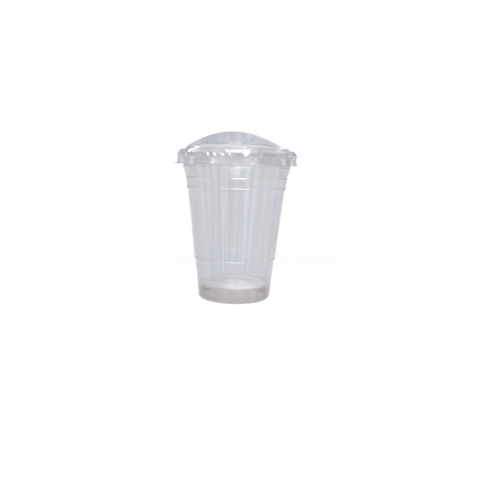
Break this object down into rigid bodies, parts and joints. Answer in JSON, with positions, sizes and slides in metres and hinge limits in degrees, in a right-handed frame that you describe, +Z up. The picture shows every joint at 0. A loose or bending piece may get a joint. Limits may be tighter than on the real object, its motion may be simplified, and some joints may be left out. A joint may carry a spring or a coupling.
{
  "type": "plastic cup with lid",
  "caption": "Clear tapered cold-drink cup with a rolled rim and raised floor, and a push-fit clear sip lid with a high lip, a sip slot and a pull tab.",
  "frame": {"origin": "on the cup's axis, in the plane of the foot ring it stands on", "axes": "+Z up along the cup's axis, +Y towards the lid's high sipping side, -X towards the lid's pull tab"},
  "size_m": [0.1041, 0.1022, 0.1438],
  "materials": {
    "clear_cup": "gloss",
    "clear_lid": "gloss"
  },
  "bodies": {
    "cup_body": {"cup": "clear_cup"},
    "lid_body": {"lid": "clear_lid"}
  },
  "joints": [
    {"name": "lid_lift", "type": "slide", "parent": "cup_body", "child": "lid_body", "axis": [0, 0, 1], "range_m": [0, 0.04]}
  ]
}
